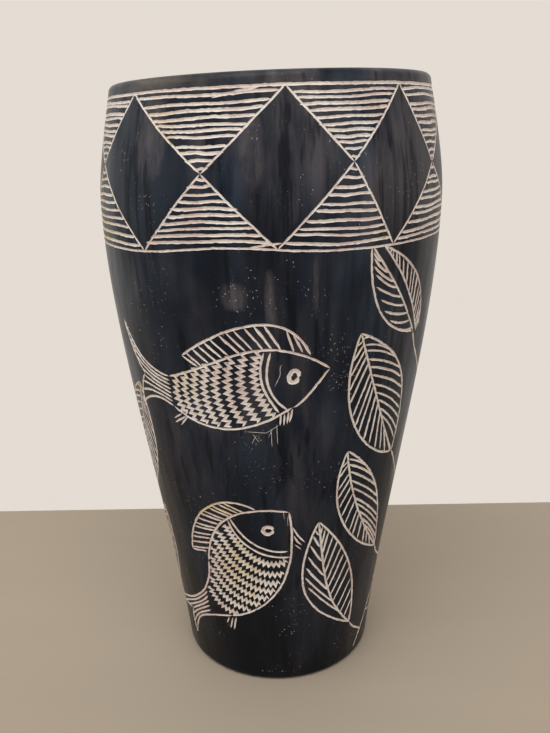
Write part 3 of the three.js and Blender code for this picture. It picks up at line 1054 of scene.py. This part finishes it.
def place_along(tree, axis, kind="Object"):
    """Place along one axis, such as the height above the foot."""
    place = node(tree, "TexCoord").outputs[kind]
    return node(tree, "SeparateXYZ", Vector=place).outputs[axis]


def patches(tree, places):
    """Uneven soft patches at places round the vase, as shares from 0 to 1."""
    front = math_node(tree, "MULTIPLY", place_along(tree, "Y"), -1)
    azimuth = math_node(tree, "ARCTAN2", place_along(tree, "X"), front)
    height = place_along(tree, "Z")
    uneven = mottle(tree, PATCH_EDGES)
    total = None
    for place, hundredths, half_width, half_height, strength in places:
        middle = math.radians((place + 180) % 360 - 180)
        across = math_node(tree, "SUBTRACT", azimuth, middle)
        across = math_node(tree, "MULTIPLY", across, PANEL_RADIUS / (half_width * MM))
        along = math_node(tree, "SUBTRACT", height, hundredths / 100 * PANEL_HEIGHT)
        along = math_node(tree, "DIVIDE", along, half_height * MM)
        sizes = (math_node(tree, "ABSOLUTE", part) for part in (across, along))
        cubes = (math_node(tree, "POWER", size, 3) for size in sizes)
        away = math_node(tree, "ADD", math_node(tree, "ADD", *cubes), uneven)
        patch = ramp(tree, away, *PATCH_EDGE, strength)
        total = patch if total is None else math_node(tree, "MAXIMUM", total, patch)
    return product(tree, total, PATCH_CLOUDS)


def dyed_stone(finish):
    """Polished stone under a near-black dye, with upright streaks and rubbed thin in clouds."""
    material, tree, shader = new_material("dyed_soapstone")
    height, across = place_along(tree, "Z"), place_along(tree, "X")
    # Share of the dye colour over the ink, growing with height: darker towards the foot
    dyed = math_node(tree, "ADD", ramp(tree, height, *DARKER_FOOT), DYE_DEPTH)
    upper = ramp(tree, height, *PALER_TOP)
    band = ramp(tree, height, *BAND_HAZE)
    sides = ramp(tree, math_node(tree, "ABSOLUTE", across), *SIDE_HAZE)
    thin = mix(tree, HUES, finish.slate, finish.rubbed)
    # Scuffs and a painted reflection on the rim's left side, rougher where scuffed
    scuff_and_reflection_share = product(tree, ramp(tree, height, *SCUFF_AND_REFLECTION_RIM), ramp(tree, across, *SCUFF_AND_REFLECTION_SIDE), SCUFFS)
    colour = layered(
        tree, finish.ink,
        (ramp(tree, dyed, 0.0, 1.0), finish.dye),
        (product(tree, upper, CLOUDS, STREAKS), thin),
        # Paler towards both sides of the band, in clouds
        (product(tree, band, sides, HAZE), thin),
        (patches(tree, RUBBED_PATCHES), finish.rubbed),
        (RUNS, finish.ink),
        (scuff_and_reflection_share, finish.scuff_and_reflection_tone),
        (product(tree, DUST, DUSTY_PLACES), finish.raw),
    )
    rough = math_node(tree, "ADD", POLISH, ramp(tree, scuff_and_reflection_share, *WORN_ROUGHNESS))
    shade(tree, shader, colour, rough, DYE_SPECULAR)
    bumps(tree, shader, GRAIN, FACETS)
    return material


def raw_stone(finish):
    """Matt cream stone laid bare by the cut, with pink and ochre patches and a little dye left."""
    material, tree, shader = new_material("raw_soapstone")
    ochre = math_node(tree, "MAXIMUM", OCHRE_VEINS, patches(tree, OCHRE_PATCHES))
    colour = layered(
        tree, finish.raw,
        (PINK_VEINS, finish.pink),
        (ochre, finish.ochre),
        (SMUDGES, finish.rubbed),
    )
    shade(tree, shader, colour, RAW_ROUGHNESS, RAW_SPECULAR)
    bumps(tree, shader, RAW_GRAIN)
    return material


class VASE_OT_carved_vase(Operator):
    """Builds the stone with its incised ornament and its two finishes."""

    bl_idname = "vase.carved_vase"
    bl_label = "Carved Vase"

    def execute(self, context):
        scene = context.scene
        mesh = build_stone(scene.vase_sizes, scene.vase_cut)
        for material in (dyed_stone(scene.vase_finish), raw_stone(scene.vase_finish)):
            mesh.materials.append(material)
        piece = new_object(scene, "carved_vase", mesh)
        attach(piece, "root")
        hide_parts(NODE)
        return {"FINISHED"}


# Camera: solved from the photograph's ellipses
CAMERA_PLACE = Vector((0, -317.1 * MM, 231 * MM))
CAMERA_PITCH = math.radians(17.39)
CAMERA_YAW = math.radians(0.07)
CAMERA_ROLL = math.radians(-0.92)
FOCAL_PIXELS = 750
LONG_SIDE_PIXELS = 733
SENSOR = 36
NEAR_CLIP = 0.01

# Table: the vase stands near its far edge, as in the photograph
TABLE_SIZE = (3.2, 1.72, 0.04)
TABLE_BEHIND = 0.12
TABLE_BEVEL = 0.003
BEVEL_STEPS = 3
TABLE_ROUGHNESS = 0.6
TABLE_SPECULAR = 0.5
DARKER_TONE = 0.97

# Lamps: place, side and power. The room's light grows from the camera's side to the wall's.
LAMPS = {
    "ceiling_lamp": ((-0.2, -0.8, 1.4), 1.3, 16),
    "window_lamp": ((-1.3, -0.5, 0.7), 1.0, 3),
    "room_lamp": ((0.9, -1.1, 0.8), 1.0, 4),
}
LAMP_AIM = Vector((0, 0, 0.13))
ROOM_LIGHT = (-0.6, 0.5, 0.22, 0.9)


def add_camera(scene):
    data = bpy.data.cameras.new("camera")
    data.sensor_width = SENSOR
    data.lens = FOCAL_PIXELS * SENSOR / LONG_SIDE_PIXELS
    data.clip_start = NEAR_CLIP
    turn = Matrix.Rotation(-CAMERA_YAW, 4, "Z") @ Matrix.Rotation(math.pi / 2 - CAMERA_PITCH, 4, "X")
    turn = turn @ Matrix.Rotation(CAMERA_ROLL, 4, "Z")
    scene.camera = new_object(scene, "camera", data)
    scene.camera.matrix_world = Matrix.Translation(CAMERA_PLACE) @ turn


def add_lamp(scene, name, place, size, power):
    """Square soft lamp that faces the middle of the vase."""
    data = bpy.data.lights.new(name, "AREA")
    data.size = size
    data.energy = power
    lamp = new_object(scene, name, data)
    lamp.location = place
    lamp.rotation_mode = "QUATERNION"
    lamp.rotation_quaternion = (LAMP_AIM - Vector(place)).to_track_quat("-Z", "Y")


def add_table(scene, finish):
    """Plain table top, whose far edge lies a little behind the vase."""
    mesh = bmesh.new()
    middle = (0, TABLE_BEHIND - TABLE_SIZE[1] / 2, -TABLE_SIZE[2] / 2)
    bmesh.ops.create_cube(mesh, size=1, matrix=Matrix.LocRotScale(middle, None, TABLE_SIZE))
    bmesh.ops.bevel(
        mesh, geom=mesh.edges[:], offset=TABLE_BEVEL, offset_type="OFFSET", affect="EDGES",
        segments=BEVEL_STEPS, profile=0.5, material=-1)
    data = mesh_data(mesh, "table")
    material, tree, shader = new_material("table_paint")
    paint = mix(tree, TABLE_TONES, Vector(finish.table) * DARKER_TONE, finish.table)
    shade(tree, shader, paint, TABLE_ROUGHNESS, TABLE_SPECULAR)
    data.materials.append(material)
    new_object(scene, "table", data)


def add_world(scene, finish):
    """Pale wall that the camera sees, in a room that is dimmer on the camera's side."""
    world = bpy.data.worlds.new("room")
    world.use_nodes = True
    tree = world.node_tree
    background = tree.nodes["Background"]
    feed(tree, background.inputs["Color"], finish.wall)
    room = ramp(tree, place_along(tree, "Y", "Generated"), *ROOM_LIGHT)
    seen = node(tree, "LightPath").outputs["Is Camera Ray"]
    feed(tree, background.inputs["Strength"], math_node(tree, "MAXIMUM", seen, room))
    scene.world = world


class VASE_OT_stage(Operator):
    """Sets the table, the lamps, the surroundings and the camera."""

    bl_idname = "vase.stage"
    bl_label = "Stage"

    def execute(self, context):
        scene = context.scene
        add_table(scene, scene.vase_finish)
        for name, lamp in LAMPS.items():
            add_lamp(scene, name, *lamp)
        add_world(scene, scene.vase_finish)
        add_camera(scene)
        scene.view_settings.view_transform = "Standard"
        return {"FINISHED"}


class VASE_PT_panel(Panel):
    """Lists the vase's parts and sizes in the sidebar."""

    bl_idname = "VASE_PT_panel"
    bl_label = "Incised Soapstone Vase"
    bl_space_type = "VIEW_3D"
    bl_region_type = "UI"
    bl_category = "Vase"

    def draw(self, context):
        for operator in OPERATORS:
            self.layout.operator(operator.bl_idname)
        for group in (getattr(context.scene, name) for name in GROUPS):
            for name in group.__annotations__:
                self.layout.prop(group, name)


GROUPS = {"vase_sizes": StoneSizes, "vase_cut": LineCut, "vase_finish": Finish}
OPERATORS = (VASE_OT_carved_vase, VASE_OT_stage)
CLASSES = (*GROUPS.values(), *OPERATORS, VASE_PT_panel)


def register():
    for cls in CLASSES:
        bpy.utils.register_class(cls)
    for name, group in GROUPS.items():
        setattr(bpy.types.Scene, name, PointerProperty(type=group))


def unregister():
    for name in GROUPS:
        delattr(bpy.types.Scene, name)
    for cls in reversed(CLASSES):
        bpy.utils.unregister_class(cls)


def main():
    """Builds the vase and its stage."""
    register()
    bpy.ops.vase.carved_vase()
    bpy.ops.vase.stage()


if __name__ == "__main__":
    main()
